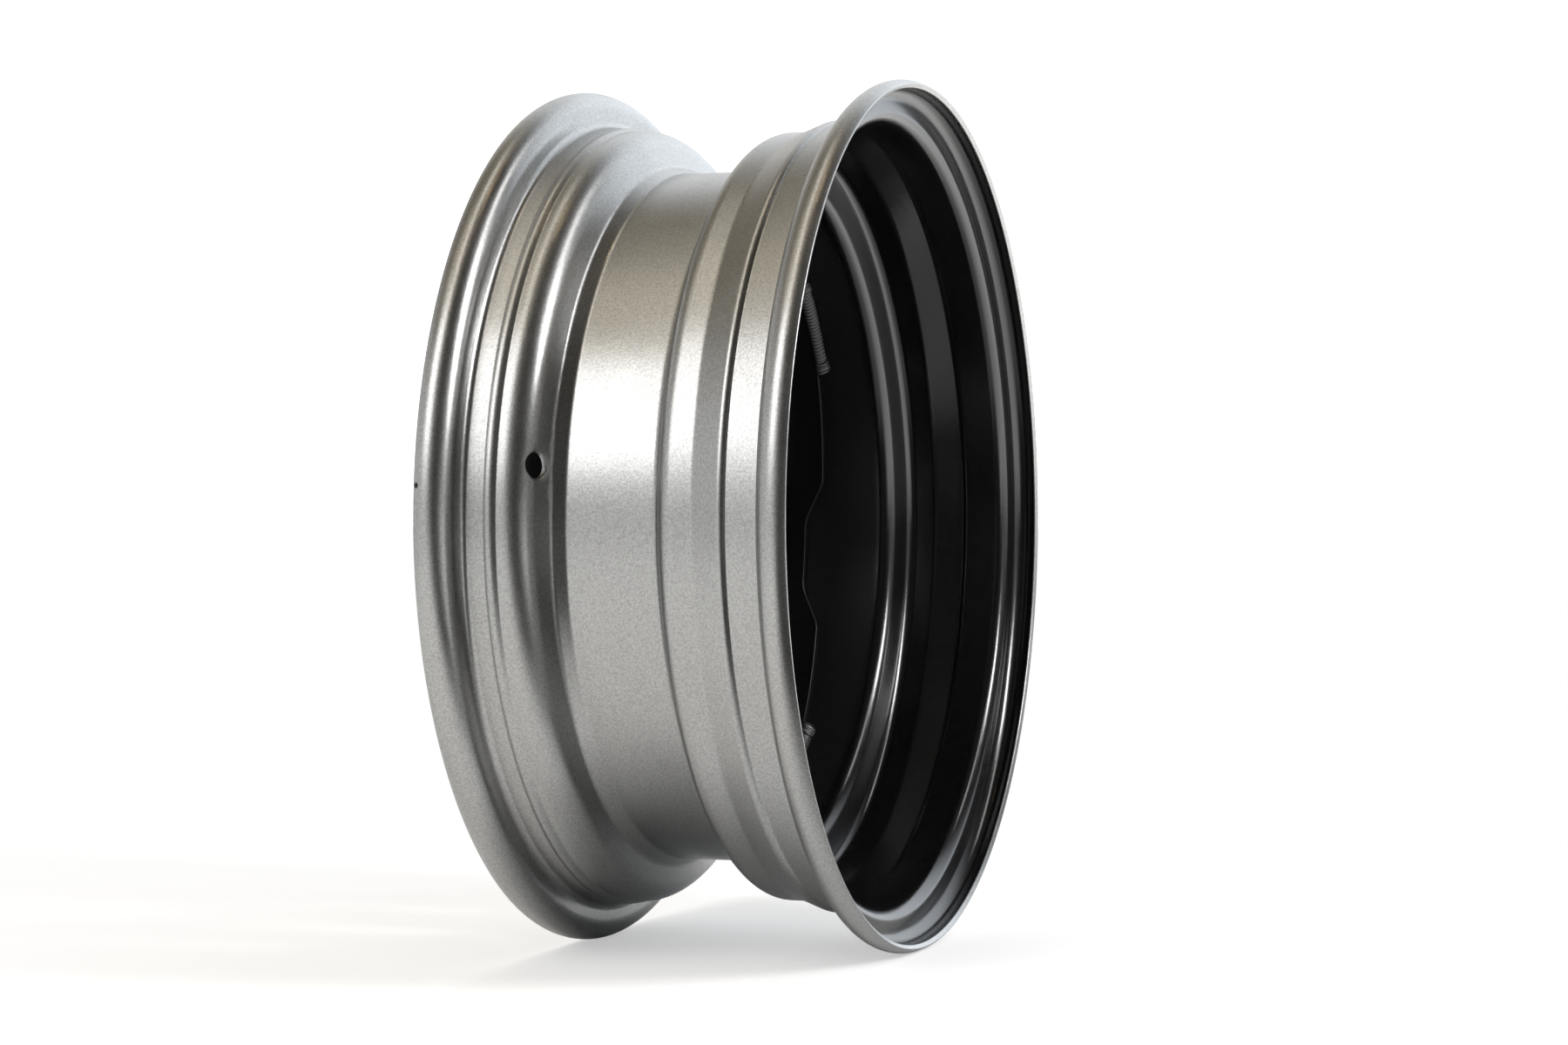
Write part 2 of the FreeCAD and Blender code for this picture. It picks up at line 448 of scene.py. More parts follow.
def towards_circle(places, swings, reach, share):
    """Flat places round a hole, moved by a share of their way to a circle."""
    moved = []
    for (along, across), swing in zip(places, swings):
        to_along = along + (reach * math.cos(swing) - along) * share
        to_across = across + (reach * math.sin(swing) - across) * share
        moved.append((to_along, to_across))
    return moved


# Rim section, tyre side, from the outboard lip to the inboard lip: each corner with its bend
flange_radius = seat_radius + flange_height
lip_edge = half_width + lip_width
lip_root = flange_radius + (lip_bend + rim_sheet) * (math.tan(math.pi / 4 + lip_fall / 2) - 1)
lip_end = lip_root - lip_width * math.tan(lip_fall)
taper = math.tan(bead_taper)
out_seat_end = (-half_width + out_seat_width, seat_radius - out_seat_width * taper)
out_crest = (out_seat_end[0] + out_hump_rise_width, out_seat_end[1] + out_hump_height)
out_crease = (out_crest[0] + out_hump_fall_width, out_crest[1] - out_hump_drop)
out_shoulder = (out_crease[0] + out_ledge_width, out_crease[1] + out_ledge_rise)
out_foot_radius = well_radius + out_foot_height
out_wall_run = (out_shoulder[1] - out_foot_radius) * math.tan(out_wall_lean)
out_foot = (out_shoulder[0] + out_wall_run, out_foot_radius)
well_start = (out_foot[0] + out_foot_width, well_radius)
in_seat_end = (half_width - in_seat_width, seat_radius - in_seat_width * taper)
in_crest = (in_seat_end[0] - in_hump_fall_width, in_seat_end[1] + in_hump_height)
in_ramp_foot = (in_crest[0] - in_ramp_width, well_radius + in_ledge_height)
in_shoulder = (in_ramp_foot[0] - in_ledge_width, well_radius + in_ledge_height)
well_end = (in_shoulder[0] - in_ledge_height * math.tan(in_wall_lean), well_radius)
rim_line = [
    ((-lip_edge, lip_end), 0.0),
    ((-half_width, lip_root), lip_bend),
    ((-half_width, seat_radius), heel_bend),
    (out_seat_end, hump_bend),
    (out_crest, hump_bend),
    (out_crease, crease_bend),
    (out_shoulder, out_shoulder_bend),
    (out_foot, out_foot_bend),
    (well_start, out_foot_bend),
    (well_end, in_foot_bend),
    (in_shoulder, in_shoulder_bend),
    (in_ramp_foot, in_ramp_bend),
    (in_crest, hump_bend),
    (in_seat_end, crease_bend),
    ((half_width, seat_radius), heel_bend),
    ((half_width, lip_root), lip_bend),
    ((lip_edge, lip_end), 0.0),
]

# Valve hole in that section: its middle on both sides of the sheet, and the wall's directions there
valve_middle = tuple(a + (b - a) * valve_place for a, b in zip(out_shoulder, out_foot))
valve_down = (math.sin(out_wall_lean), -math.cos(out_wall_lean))
valve_outwards = (math.cos(out_wall_lean), math.sin(out_wall_lean))
valve_back = tuple(a - b * rim_sheet for a, b in zip(valve_middle, valve_outwards))

# Disc section, outboard side, from the collar to the edge of the skirt: each corner with its bend
well_inner = well_radius - rim_sheet
collar_radius = bore_radius + disc_sheet
hub_front = hub_face - disc_sheet
crown = hub_front - crown_height
brow = crown + brow_drop
skirt_edge = well_start[0] + skirt_land
disc_line = [
    ((hub_front - collar_length, collar_radius), 0.0),
    ((hub_front, collar_radius), collar_bend),
    ((hub_front, hub_face_radius), hub_bend),
    ((crown, crown_radius), crown_bend),
    ((brow, well_inner), brow_bend),
    ((skirt_edge, well_inner), 0.0),
]


def rim_paint(index, on_arc):
    """Silver on the tyre side and round both cut edges, black on the axle side."""
    count = len(rim_line)
    round_edge = index == 2 * count - 1 or (index == count and on_arc)
    return SILVER if index < count or round_edge else BLACK


def valve_boxes(samples, tyre_start, axle_start):
    """Boxes of the rim's grid that the valve hole leaves open, on the tyre side and on the axle side."""
    column_step = 2 * math.pi / rim_columns
    columns_reach = math.ceil(valve_patch_reach / valve_middle[1] / column_step)
    first_column = round(valve_angle / column_step) - columns_reach
    last_column = first_column + 2 * columns_reach
    tyre_rows, axle_rows = (
        [row for row, sample in enumerate(samples) if abs(sample[0] - start) < valve_patch_reach]
        for start in (tyre_start, axle_start)
    )
    steps = min(len(tyre_rows), len(axle_rows)) - 1
    tyre_box = (tyre_rows[0], tyre_rows[0] + steps, first_column, last_column)
    axle_box = (axle_rows[-1] - steps, axle_rows[-1], first_column, last_column)
    return tyre_box, axle_box


def cut_valve_hole(shell, grid, samples, fine, tyre, axle, boxes):
    """Round hole with a flat seat and a bevel, through both sides of the wall.

    A side is the distance of the hole's middle along the outline, and the sense in which that goes down.
    """
    centre = place_at(*valve_middle, valve_angle)
    along = place_at(*valve_down, valve_angle)
    across = sideways_at(valve_angle)
    normal = place_at(*valve_outwards, valve_angle)

    def flat_places(side, border):
        """A border as (down the wall, round the axis) from the hole's middle."""
        start, sense = side
        places = []
        for row, column in border:
            spread = (2 * math.pi * column / rim_columns - valve_angle) * valve_middle[1]
            places.append((sense * (samples[row][0] - start), spread))
        return places

    def wall_point(side, down, spread):
        start, sense = side
        axial, radial = section_point(fine, start + sense * down)
        return place_at(axial, radial, valve_angle + spread / valve_middle[1])

    def wall_height(side, reach, swing):
        spot = wall_point(side, reach * math.cos(swing), reach * math.sin(swing))
        return (spot - centre).dot(normal)

    def seat_height(reach, swing):
        return min(wall_height(tyre, reach, swing), -valve_seat_depth)

    def hole_point(reach, swing, height):
        return centre + reach * (math.cos(swing) * along + math.sin(swing) * across) + height * normal

    # Tyre side: the wall, the flat seat, the bevel and the start of the bore
    tyre_box, axle_box = boxes
    border = box_border(*tyre_box)
    flat = flat_places(tyre, border)
    swings = [math.atan2(spread, drop) for drop, spread in flat]
    tyre_rings = [grid_ring(grid, border)]
    for share in valve_front_shares:
        places = towards_circle(flat, swings, valve_seat_radius + valve_seat_margin, share)
        tyre_rings.append(shell.ring([wall_point(tyre, *place) for place in places]))
    bevel_radius = valve_radius + valve_bevel
    for reach in (valve_seat_radius, bevel_radius + valve_edge_round, bevel_radius):
        ring = [hole_point(reach, swing, seat_height(reach, swing)) for swing in swings]
        tyre_rings.append(shell.ring(ring))
    for drop in (valve_bevel, valve_bevel + edge_drop):
        ring = [hole_point(valve_radius, swing, seat_height(bevel_radius, swing) - drop) for swing in swings]
        tyre_rings.append(shell.ring(ring))

    # Axle side: the wall and the rounded end of the bore
    back_border = other_border(border, tyre_box, axle_box)
    back_flat = flat_places(axle, back_border)
    axle_rings = [grid_ring(grid, back_border)]
    for share in valve_back_shares:
        places = towards_circle(back_flat, swings, valve_radius * valve_back_ratio, share)
        axle_rings.append(shell.ring([wall_point(axle, *place) for place in places]))
    for run, rise in ((2 * valve_edge_round, 0.0), (valve_edge_round, 0.0), (0.0, valve_edge_round)):
        reach = valve_radius + run
        ring = [hole_point(reach, swing, wall_height(axle, reach, swing) + rise) for swing in swings]
        axle_rings.append(shell.ring(ring))
    shell.bridge(tyre_rings, SILVER)
    shell.join(tyre_rings[-1], axle_rings[-1], SILVER)
    shell.bridge(axle_rings, BLACK)


def make_rim(materials):
    """Rolled rim with the valve hole through the outboard wall of its well."""
    corners, radii = sheet_corners(rim_line, rim_sheet, rim_edge_round)
    samples = walk_outline(corners, radii, arc_step, rim_line_step)
    fine = walk_outline(corners, radii, fine_arc_step, fine_line_step)
    paints = [rim_paint(index, on_arc) for _, _, _, index, on_arc in samples]
    half_count = len(fine) // 2
    tyre_start = nearest_distance(fine[:half_count], valve_middle)
    axle_start = nearest_distance(fine[half_count:], valve_back)
    boxes = valve_boxes(samples, tyre_start, axle_start)
    shell = Shell()
    grid = turn_section(shell, samples, rim_columns, paints, boxes)
    cut_valve_hole(shell, grid, samples, fine, (tyre_start, 1.0), (axle_start, -1.0), boxes)
    return shell.build("painted_rim", materials)


def notch_outline():
    """Half of one notch's edge as (sideways, axial) samples from its middle to the lobe's weld."""
    weld_gap = (2 * math.pi / lobe_count - weld_span) / 2
    lobe_reach = well_inner * math.sin(weld_gap)
    floor_line = skirt_edge - notch_depth
    edge_corners = [
        ((0.0, floor_line), 0.0),
        ((notch_floor, floor_line), notch_floor_round),
        ((notch_mouth, skirt_edge - lobe_fall), notch_corner_round),
    ]
    # The last three corners only close the outline, well away from the edge
    closing = 0.1
    closing_corners = [
        ((lobe_reach, skirt_edge), 0.0),
        ((lobe_reach, skirt_edge - closing), 0.0),
        ((0.0, skirt_edge - closing), 0.0),
    ]
    corners, radii = zip(*edge_corners, *closing_corners)
    samples = walk_outline(corners, radii, notch_arc_step, notch_line_step)
    return [(first, second) for _, first, second, index, _ in samples if index < len(edge_corners)]


notch_edge = notch_outline()
notch_sideways = [sideways for sideways, _ in notch_edge]


def skirt_shift(axial, radial, angle):
    """How far the skirt is cut back at that angle, which grows from its start to its edge."""
    start = brow + brow_bend + disc_sheet
    if axial <= start or radial < well_inner - 2 * disc_sheet:
        return 0.0
    pitch = 2 * math.pi / lobe_count
    off = abs((angle - valve_angle + pitch / 2) % pitch - pitch / 2)
    reach = radial * math.sin(off)
    index = bisect.bisect_right(notch_sideways, reach)
    if index >= len(notch_edge):
        level = skirt_edge
    else:
        first = notch_edge[index - 1]
        second = notch_edge[index]
        level = first[1] + (second[1] - first[1]) * (reach - first[0]) / (second[0] - first[0])
    end = skirt_edge - 2 * disc_edge_round
    share = min(1.0, (axial - start) / (end - start))
    return share * (level - skirt_edge)


def hub_level(_radial):
    """Axial place of the disc's front on the flat hub."""
    return hub_front


def brow_level(radial):
    """Axial place of the disc's front between the crown and the brow."""
    return crown + brow_drop * (radial - crown_radius) / (well_inner - crown_radius)


def broken_edge(radius, height, shifts):
    """Points that break one edge of a hole's section, each shifted from the sharp corner."""
    return [(radius + run, height + rise) for run, rise in shifts]


# Sections of the disc's holes as (radius, height over the front), from the front to the back
lug_seat_depth = (lug_seat_radius - lug_hole_radius) / lug_seat_slope
lug_section = broken_edge(
    lug_pad_radius, 0.0, [(pad_foot_run, 0.0), (edge_nick, edge_nick), (-edge_short, edge_drop)]
)
lug_section += broken_edge(
    lug_pad_top_radius,
    lug_pad_height,
    [(edge_drop, -edge_drop), (edge_nick, -edge_nick), (-edge_run, 0.0)],
)
lug_section += broken_edge(
    lug_seat_radius, lug_pad_height, [(edge_short, 0.0), (0.0, -edge_nick), (-edge_shorter, -edge_run)]
)
lug_section += broken_edge(
    lug_hole_radius, lug_pad_height - lug_seat_depth, [(edge_nick, edge_nick), (0.0, -edge_short)]
)
lug_section += broken_edge(
    lug_hole_radius, -disc_sheet, [(0.0, edge_drop), (edge_nick, edge_nick), (edge_run, 0.0)]
)
vent_section = broken_edge(
    vent_radius, 0.0, [(vent_margin, 0.0), (edge_run, 0.0), (edge_nick, -edge_nick), (0.0, -edge_run)]
)
vent_section += broken_edge(
    vent_radius, -disc_sheet, [(0.0, edge_run), (edge_nick, edge_nick), (edge_run, 0.0)]
)

# A kind's patch reaches inwards and outwards from its circle, and spreads by an angle to each side. Its first
# hole is turned from the valve hole by a share of the angle between its holes
HoleKind = namedtuple("HoleKind", "count turn circle reach spread level section")
lug_holes = HoleKind(lug_count, 0.0, lug_circle, lug_patch_reach, lug_patch_spread, hub_level, lug_section)
vents = HoleKind(vent_count, 0.5, vent_circle, vent_patch_reach, vent_patch_spread, brow_level, vent_section)


def sheet_rows(samples, kind):
    """Rows of the disc's section in front of and behind the straight stretch that a hole goes through."""
    low = kind.circle - kind.reach
    high = kind.circle + kind.reach
    tilt = math.atan2(kind.level(high) - kind.level(low), 2 * kind.reach)
    front, back = (
        [
            row
            for row, (_, axial, radial, _, _) in enumerate(samples)
            if low < radial < high and abs(axial - kind.level(radial) - depth) < level_slack
        ]
        for depth in (0.0, disc_sheet / math.cos(tilt))
    )
    rows = min(len(front), len(back))
    return front[:rows], back[-rows:]


def punch_hole(shell, grid, kind, angle, front_box, back_box):
    """Round hole through both sides of the disc, along the section of its kind."""
    outward = place_at(0.0, 1.0, angle)
    across = sideways_at(angle)
    border = box_border(*front_box)
    front_ring = grid_ring(grid, border)
    spots = [shell.points[index] for index in front_ring]
    flat = [(spot.dot(outward) - kind.circle, spot.dot(across)) for spot in spots]
    swings = [math.atan2(spread, up) for up, spread in flat]

    def ring_at(reach, height, share=1.0):
        places = []
        for up, spread in towards_circle(flat, swings, reach, share):
            place = outward * (kind.circle + up) + across * spread
            place.y = kind.level(math.hypot(kind.circle + up, spread)) - height
            places.append(place)
        return shell.ring(places)

    first_reach = kind.section[0][0]
    last_reach = kind.section[-1][0]
    rings = [front_ring]
    rings += [ring_at(first_reach, 0.0, share) for share in hole_front_shares]
    rings += [ring_at(reach, height) for reach, height in kind.section]
    rings += [ring_at(last_reach, -disc_sheet, share) for share in hole_back_shares]
    rings.append(grid_ring(grid, other_border(border, front_box, back_box)))
    shell.bridge(rings, ONLY_PAINT)


def make_disc(materials):
    """Pressed disc with its lug holes, its vents and the notches between the lobes of its skirt."""
    corners, radii = sheet_corners(disc_line, disc_sheet, disc_edge_round)
    samples = walk_outline(corners, radii, arc_step, disc_line_step)
    column_step = 2 * math.pi / disc_columns
    punches = []
    for kind in (lug_holes, vents):
        front, back = sheet_rows(samples, kind)
        for number in range(kind.count):
            angle = valve_angle + 2 * math.pi * (number + kind.turn) / kind.count
            first = round((angle - kind.spread) / column_step)
            last = round((angle + kind.spread) / column_step)
            front_box = (front[0], front[-1], first, last)
            back_box = (back[0], back[-1], first, last)
            punches.append((kind, angle, front_box, back_box))
    holes = [box for _, _, *boxes in punches for box in boxes]
    paints = [ONLY_PAINT] * len(samples)
    shell = Shell()
    grid = turn_section(shell, samples, disc_columns, paints, holes, skirt_shift)
    for punch in punches:
        punch_hole(shell, grid, *punch)
    return shell.build("pressed_disc", materials)


def make_weld(number, middle, materials):
    """Rippled bead in the corner between the skirt's edge and the well, with a round knob at each end."""
    half_length = well_inner * weld_span / 2
    total = half_length + weld_end_radius
    shell = Shell()
    rings = []
    for station in range(1, weld_stations):
        off = -total + 2 * total * station / weld_stations
        inside = half_length - abs(off)
        knob = math.sqrt(weld_end_radius**2 - min(abs(inside), weld_end_radius) ** 2)
        body = knob if inside < 0 else max(weld_leg, knob)
        ripple = ripple_height * math.sin(2 * math.pi * (off / ripple_pitch + number * ripple_turn))
        drift = drift_height * math.sin(off / drift_length + number * drift_turn) * smooth(inside, drift_fade)
        radius = body + (ripple + drift) * smooth(body, ripple_fade) - weld_inset
        angle = middle + off / well_inner
        ring = [place_at(skirt_edge - weld_embed, well_inner + weld_embed, angle)]
        for step in range(weld_section_steps + 1):
            swing = math.pi / 2 * step / weld_section_steps
            lead = ripple_lead * math.sin(2 * swing) * smooth(inside, lead_fade)
            flatten = 1.0 - weld_flatness * math.sin(2 * swing)
            axial = skirt_edge - weld_embed + (radius + weld_embed) * math.sin(swing) * flatten
            radial = well_inner + weld_embed - (radius + weld_embed) * math.cos(swing) * flatten
            ring.append(place_at(axial, radial, angle + lead / well_inner))
        rings.append(shell.ring(ring))
    shell.bridge(rings, ONLY_PAINT)
    for ring in (rings[0], rings[-1]):
        shell.face(tuple(ring), ONLY_PAINT)
    return shell.build(f"weld_bead_{number}", materials)


# Nodes that the materials, the floor and the room share


def start_tree(owner, output_kind):
    """Emptied node tree of a material or world, and the socket that shows."""
    owner.use_nodes = True
    tree = owner.node_tree
    tree.nodes.clear()
    output = tree.nodes.new(output_kind)
    return tree, output.inputs["Surface"]


def add_place(tree, space):
    """Place in that space, whole and as its X, Y and Z."""
    where = tree.nodes.new("ShaderNodeTexCoord")
    split = tree.nodes.new("ShaderNodeSeparateXYZ")
    tree.links.new(where.outputs[space], split.inputs["Vector"])
    return where.outputs[space], split.outputs


def add_noise(tree, scale, detail, roughness=0.5):
    """Noise in the object's own space. `scale` is in cells per metre."""
    where = tree.nodes.new("ShaderNodeTexCoord")
    noise = tree.nodes.new("ShaderNodeTexNoise")
    noise.inputs["Scale"].default_value = scale
    noise.inputs["Detail"].default_value = detail
    noise.inputs["Roughness"].default_value = roughness
    tree.links.new(where.outputs["Object"], noise.inputs["Vector"])
    return noise.outputs["Fac"]


def add_ramp(tree, factor, stops):
    """Colours that follow a factor through (position, colour) stops."""
    ramp = tree.nodes.new("ShaderNodeValToRGB")
    elements = ramp.color_ramp.elements
    while len(elements) < len(stops):
        elements.new(0.5)
    for element, (position, colour) in zip(elements, stops):
        element.position = position
        element.color = (*colour, 1.0)
    tree.links.new(factor, ramp.inputs["Fac"])
    return ramp.outputs["Color"]


def add_range(tree, factor, low, high, to_low=0.0, to_high=1.0):
    """Number that goes from `to_low` to `to_high` while the factor goes from `low` to `high`."""
    spread = tree.nodes.new("ShaderNodeMapRange")
    for name, value in (("From Min", low), ("From Max", high), ("To Min", to_low), ("To Max", to_high)):
        spread.inputs[name].default_value = value
    tree.links.new(factor, spread.inputs["Value"])
    return spread.outputs["Result"]


def add_math(tree, operation, first, second):
    """Sum, product or the like of two numbers."""
    node = tree.nodes.new("ShaderNodeMath")
    node.operation = operation
    tree.links.new(first, node.inputs[0])
    tree.links.new(second, node.inputs[1])
    return node.outputs[0]


def add_mix(tree, factor, first, second):
    """Blend of two colours. The second may be a plain colour."""
    mix = tree.nodes.new("ShaderNodeMix")
    mix.data_type = "RGBA"
    tree.links.new(factor, mix.inputs["Factor"])
    tree.links.new(first, mix.inputs["A"])
    if isinstance(second, tuple):
        mix.inputs["B"].default_value = (*second, 1.0)
    else:
        tree.links.new(second, mix.inputs["B"])
    return mix.outputs["Result"]


def add_bump(tree, height, strength, distance):
    """Normal that follows the height of a texture."""
    bump = tree.nodes.new("ShaderNodeBump")
    bump.inputs["Strength"].default_value = strength
    bump.inputs["Distance"].default_value = distance
    tree.links.new(height, bump.inputs["Height"])
    return bump.outputs["Normal"]


def add_glow(tree, strength):
    """White glow of that strength."""
    glow = tree.nodes.new("ShaderNodeEmission")
    glow.inputs["Strength"].default_value = strength
    return glow


def mix_shaders(tree, factor, first, second):
    """Blend of two shaders."""
    mix = tree.nodes.new("ShaderNodeMixShader")
    tree.links.new(factor, mix.inputs["Fac"])
    tree.links.new(first, mix.inputs[1])
    tree.links.new(second, mix.inputs[2])
    return mix.outputs["Shader"]


def grey(level):
    """Neutral colour of that level."""
    return (level, level, level)


# Paints. Their noises move the colour and the roughness between two limits
noise_range = (0.3, 0.7)
silver_colours = ((0.31, 0.31, 0.306), (0.46, 0.46, 0.455))
silver_roughness = (0.29, 0.34)
chip_colour = (0.03, 0.028, 0.026)
black_colours = ((0.003, 0.003, 0.0035), (0.006, 0.006, 0.007))

# Deep in the well the black paint is duller: from the first of these places along the axis to the second
dull_range = (0.013, 0.007)
dull_roughness = (0.1, 0.38)


def start_paint(name):
    """Material with a Principled shader on its output."""
    material = bpy.data.materials.new(name)
    tree, surface = start_tree(material, "ShaderNodeOutputMaterial")
    shader = tree.nodes.new("ShaderNodeBsdfPrincipled")
    tree.links.new(shader.outputs["BSDF"], surface)
    return material, tree, shader


def silver_paint():
    """Metallic silver with a fine grain, and a dark chip in the outboard lip."""
    material, tree, shader = start_paint("silver_paint")
    grain = add_noise(tree, scale=1000.0, detail=2.0, roughness=0.6)
    colour = add_ramp(tree, grain, list(zip(noise_range, silver_colours)))
    place, _ = add_place(tree, "Object")
    away = tree.nodes.new("ShaderNodeVectorMath")
    away.operation = "DISTANCE"
    away.inputs[1].default_value = place_at(chip_inset - lip_edge, lip_end + chip_rise, chip_angle)
    tree.links.new(place, away.inputs[0])
    chipped = add_range(tree, away.outputs["Value"], chip_size, chip_core * chip_size)
    tree.links.new(add_mix(tree, chipped, colour, chip_colour), shader.inputs["Base Color"])
    cloud = add_noise(tree, scale=35.0, detail=3.0)
    roughness = add_range(tree, cloud, *noise_range, *silver_roughness)
    tree.links.new(roughness, shader.inputs["Roughness"])
    tree.links.new(add_bump(tree, grain, strength=0.12, distance=0.0004), shader.inputs["Normal"])
    shader.inputs["Metallic"].default_value = 1.0
    return material


def black_paint(name, roughness, refraction):
    """Black with a faint orange peel. `roughness` gives its two limits outside the deep of the well."""
    material, tree, shader = start_paint(name)
    peel = add_noise(tree, scale=260.0, detail=2.0)
    colour = add_ramp(tree, peel, list(zip(noise_range, black_colours)))
    tree.links.new(colour, shader.inputs["Base Color"])
    _, axes = add_place(tree, "Object")
    cloud = add_noise(tree, scale=30.0, detail=3.0)
    cloudy = add_range(tree, cloud, *noise_range, *roughness)
    deep = add_range(tree, axes["Y"], *dull_range, *dull_roughness)
    tree.links.new(add_math(tree, "MAXIMUM", cloudy, deep), shader.inputs["Roughness"])
    tree.links.new(add_bump(tree, peel, strength=0.06, distance=0.0005), shader.inputs["Normal"])
    shader.inputs["IOR"].default_value = refraction
    return material


# The wheel's pieces
silver = silver_paint()
black = black_paint("black_paint", roughness=(0.17, 0.23), refraction=1.7)
dull_black = black_paint("dull_black_paint", roughness=(0.3, 0.4), refraction=1.35)

rim = make_rim([silver, black])
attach(rim, "root")
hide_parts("rim")

disc = make_disc([dull_black])
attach(disc, "root")
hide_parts("wheel_disc")

for number in range(1, lobe_count + 1):
    middle = valve_angle + 2 * math.pi / lobe_count * (number - 0.5)
    bead = make_weld(number, middle, [black])
    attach(bead, "root")
    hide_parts(f"disc_weld_{number}")

# Stage: a pale floor, a room that is white to the camera, and soft lamps. First the floor's colour and size,
# and how much it glows to the camera and, as painted light, in the paint's reflections
floor_colour = (0.8, 0.8, 0.8, 1.0)
floor_half = 30.0
floor_level = cad_box[0][2]
camera_glow = 0.45
# Painted reflection: mirror_glow is a painted glow of the floor that only the paint's reflections see
mirror_glow = 0.42

# Where each change of the floor starts and where it is full: by distance from the wheel's middle, or along an
# axis, or for the near side along X less Y
white_away = (0.3, 0.75)
glow_away = (0.222, 0.27)
glow_outboard = (0.14, 0.04)
glow_behind = (-0.15, -0.6)
glow_inboard = (0.22, 0.42)
# dark_away, dark_inboard, dark_near and darkest set the painted shade, a black patch of floor that only the
# paint's reflections see
dark_away = (0.22, 0.45)
dark_inboard = (0.0, 0.15)
dark_near = (-0.45, -0.1)
darkest = 0.95


def floor_paint():
    """Pale floor that shows the wheel's shadow, and is white to the camera further off. To the paint's
    reflections it shows painted light and painted shade.
    """
    material = bpy.data.materials.new("floor_paint")
    tree, surface = start_tree(material, "ShaderNodeOutputMaterial")
    place, axes = add_place(tree, "Object")
    length = tree.nodes.new("ShaderNodeVectorMath")
    length.operation = "LENGTH"
    tree.links.new(place, length.inputs[0])
    away = length.outputs["Value"]
    rays = tree.nodes.new("ShaderNodeLightPath")
    to_camera = rays.outputs["Is Camera Ray"]
    in_paint = rays.outputs["Is Glossy Ray"]

    # Painted reflection: to the paint's reflections only, the floor glows with painted light round the
    # outboard side, behind the wheel and far off inboard
    around = add_math(
        tree,
        "MULTIPLY",
        add_range(tree, away, *glow_away, to_high=mirror_glow),
        add_range(tree, axes["Y"], *glow_outboard),
    )
    behind = add_range(tree, axes["X"], *glow_behind, to_high=mirror_glow)
    inboard = add_range(tree, axes["Y"], *glow_inboard, to_high=2 * mirror_glow)
    painted_reflection_glow = add_math(tree, "ADD", add_math(tree, "ADD", around, behind), inboard)
    shine = add_math(
        tree,
        "ADD",
        add_range(tree, to_camera, 0.0, 1.0, to_high=camera_glow),
        add_math(tree, "MULTIPLY", in_paint, painted_reflection_glow),
    )
    diffuse = tree.nodes.new("ShaderNodeBsdfDiffuse")
    diffuse.inputs["Color"].default_value = floor_colour
    glow = add_glow(tree, 1.0)
    tree.links.new(shine, glow.inputs["Strength"])
    near = tree.nodes.new("ShaderNodeAddShader")
    tree.links.new(diffuse.outputs["BSDF"], near.inputs[0])
    tree.links.new(glow.outputs["Emission"], near.inputs[1])

    # Further off it is white to the camera
    white = add_glow(tree, 1.0)
    far_off = add_math(tree, "MULTIPLY", add_range(tree, away, *white_away), to_camera)
    faded = mix_shaders(tree, far_off, near.outputs["Shader"], white.outputs["Emission"])

    # Painted shade: to the paint's reflections only, the floor turns black on the near side of the inboard
    # half
    painted_shade_black = add_glow(tree, 0.0)
    toward = add_math(tree, "SUBTRACT", axes["X"], axes["Y"])
    near_side = add_math(
        tree,
        "MULTIPLY",
        add_range(tree, axes["Y"], *dark_inboard),
        add_range(tree, toward, *dark_near),
    )
    dark = add_math(tree, "MULTIPLY", add_range(tree, away, *dark_away, to_high=darkest), near_side)
    painted_shade_share = add_math(tree, "MULTIPLY", dark, in_paint)
    tree.links.new(mix_shaders(tree, painted_shade_share, faded, painted_shade_black.outputs["Emission"]), surface)
    return material


floor_mesh = bpy.data.meshes.new("floor")
floor_mesh.from_pydata(
    [(x * floor_half, y * floor_half, floor_level) for x, y in ((-1, -1), (1, -1), (1, 1), (-1, 1))],
    [],
    [(0, 1, 2, 3)],
)
floor_mesh.materials.append(floor_paint())
floor = bpy.data.objects.new("floor", floor_mesh)
scene.collection.objects.link(floor)

# The room: its strength, and the directions between which the ceiling and the backdrop fade in
room_strength = 1.5
ceiling_height = (0.3, 0.65)
backdrop_behind = (-0.45, -0.75)
backdrop_side = (0.75, 0.45)

# Its colours across the room, from the outboard side at 0 to the inboard side at 1
side_colours = [
    (0.0, grey(0.6)),
    (0.33, grey(0.55)),
    (0.475, grey(0.3)),
    (0.575, grey(0.06)),
    (0.65, grey(0.02)),
    (0.925, grey(0.04)),
    (0.975, grey(0.3)),
]
ceiling_colours = [(0.45, (0.17, 0.15, 0.11)), (0.6, (0.03, 0.027, 0.022))]
backdrop_colours = [
    (0.2, (0.5, 0.47, 0.42)),
    (0.33, (0.82, 0.84, 0.86)),
    (0.5, (1.1, 1.16, 1.22)),
    (0.65, (1.2, 1.28, 1.36)),
]


def make_room():
    """World that is pale behind the wheel and outboard, dark inboard, warm above, and white to the camera."""
    world = bpy.data.worlds.new("studio")
    scene.world = world
    tree, surface = start_tree(world, "ShaderNodeOutputWorld")
    _, axes = add_place(tree, "Generated")
    across = add_range(tree, axes["Y"], -1.0, 1.0)
    walls = add_mix(
        tree,
        add_range(tree, axes["Z"], *ceiling_height),
        add_ramp(tree, across, side_colours),
        add_ramp(tree, across, ceiling_colours),
    )
    behind = add_math(
        tree,
        "MULTIPLY",
        add_range(tree, axes["X"], *backdrop_behind),
        add_range(tree, axes["Y"], *backdrop_side),
    )
    room = add_mix(tree, behind, walls, add_ramp(tree, across, backdrop_colours))
    rays = tree.nodes.new("ShaderNodeLightPath")
    background = tree.nodes.new("ShaderNodeBackground")
    background.inputs["Strength"].default_value = room_strength
    seen = add_mix(tree, rays.outputs["Is Camera Ray"], room, grey(1.0))
    tree.links.new(seen, background.inputs["Color"])
    tree.links.new(background.outputs["Background"], surface)


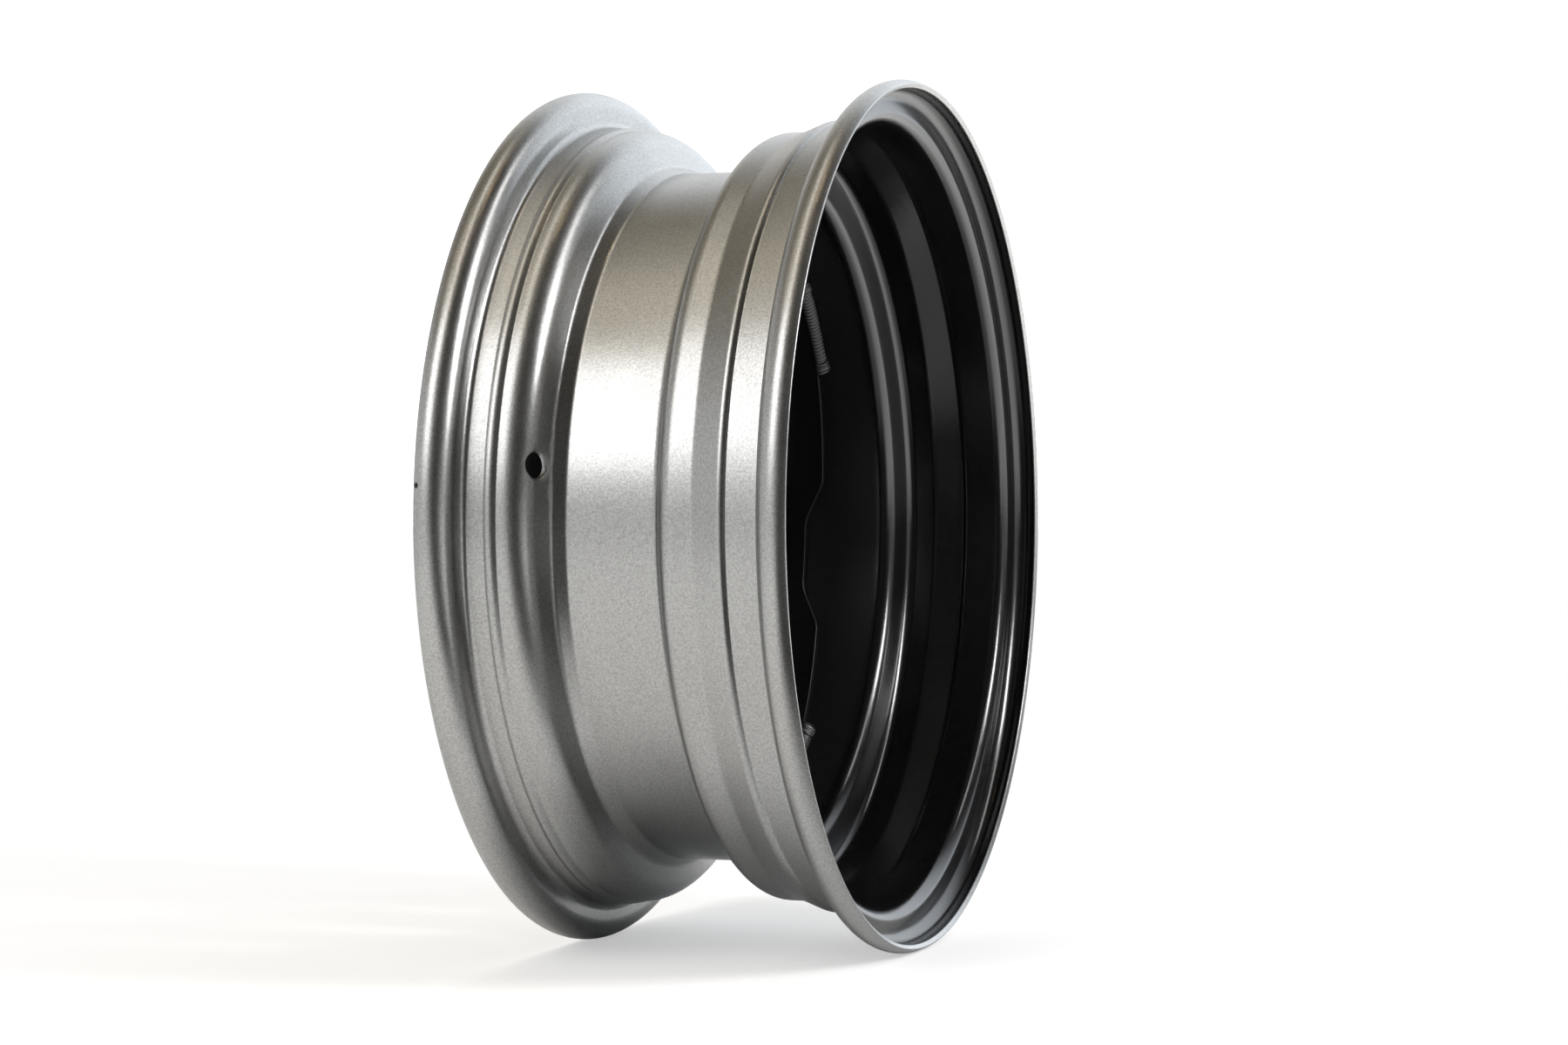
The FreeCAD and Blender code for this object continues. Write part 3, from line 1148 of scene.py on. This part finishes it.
def add_lamp(name, place, size, power, colour=(1.0, 1.0, 1.0), along=(0.0, 0.0, 1.0)):
    """Rectangular soft lamp that faces the wheel's middle. Its second side lies as near `along` as can be."""
    light = bpy.data.lights.new(name, "AREA")
    light.shape = "RECTANGLE"
    light.size, light.size_y = size
    light.energy = power
    light.color = colour
    lamp = bpy.data.objects.new(name, light)
    back = Vector(place).normalized()
    across = Vector(along).cross(back).normalized()
    turn = Matrix((across, back.cross(across), back)).transposed()
    lamp.matrix_world = Matrix.Translation(place) @ turn.to_4x4()
    scene.collection.objects.link(lamp)


def lamp_place(azimuth, elevation, distance):
    """Place at that azimuth from +X towards +Y and elevation, both in degrees."""
    flat = distance * math.cos(math.radians(elevation))
    turn = math.radians(azimuth)
    return (flat * math.cos(turn), flat * math.sin(turn), distance * math.sin(math.radians(elevation)))


make_room()
panel_colour = (1.0, 0.9, 0.72)
tube_colour = (1.0, 0.94, 0.84)
gold = (1.0, 0.72, 0.4)
add_lamp("key_softbox", lamp_place(-22.0, 30.0, 2.0), size=(0.85, 1.2), power=11.5)
add_lamp("warm_panel", lamp_place(-40.0, 59.0, 2.0), size=(1.2, 0.9), power=1.7, colour=panel_colour)
add_lamp(
    "warm_tube", (0.5, -0.35, 1.78), size=(0.26, 2.0), power=3.3, colour=tube_colour, along=(1.0, 0.0, 0.0)
)
add_lamp("inboard_softbox", lamp_place(88.0, 27.0, 2.0), size=(0.4, 0.7), power=22.0)
add_lamp("inboard_strip", (-0.15, 1.1, 1.3), size=(0.25, 1.2), power=4.0, along=(-0.9, -0.2, 0.8))
add_lamp("ceiling_lamp", lamp_place(45.0, 86.0, 1.9), size=(0.08, 0.08), power=0.4, colour=gold)

# Camera at the photograph's angle, worked out from the wheel's edges in it
picture_width = 1800
picture_height = 1200
focal_pixels = 3913.5
view_azimuth = math.radians(109.659)
view_elevation = math.radians(0.1792)
view_distance = 1.6567
origin_pixel = (868.81, 592.9)
sensor_millimetres = 36.0


def make_camera():
    """Camera that aims a little beside the wheel's middle, so that the middle lands on its pixel."""
    back = Vector((
        math.sin(view_azimuth) * math.cos(view_elevation),
        -math.cos(view_azimuth) * math.cos(view_elevation),
        math.sin(view_elevation),
    ))
    right = Vector((0.0, 0.0, 1.0)).cross(back).normalized()
    up = back.cross(right)
    side_pixels = picture_width / 2 - origin_pixel[0]
    rise_pixels = origin_pixel[1] - picture_height / 2
    target = (right * side_pixels + up * rise_pixels) * (view_distance / focal_pixels)
    camera_data = bpy.data.cameras.new("camera")
    camera_data.sensor_width = sensor_millimetres
    camera_data.lens = focal_pixels * sensor_millimetres / picture_width
    camera = bpy.data.objects.new("camera", camera_data)
    camera.location = back * view_distance
    camera.rotation_euler = (target - camera.location).to_track_quat("-Z", "Y").to_euler()
    scene.collection.objects.link(camera)
    return camera


scene.camera = make_camera()
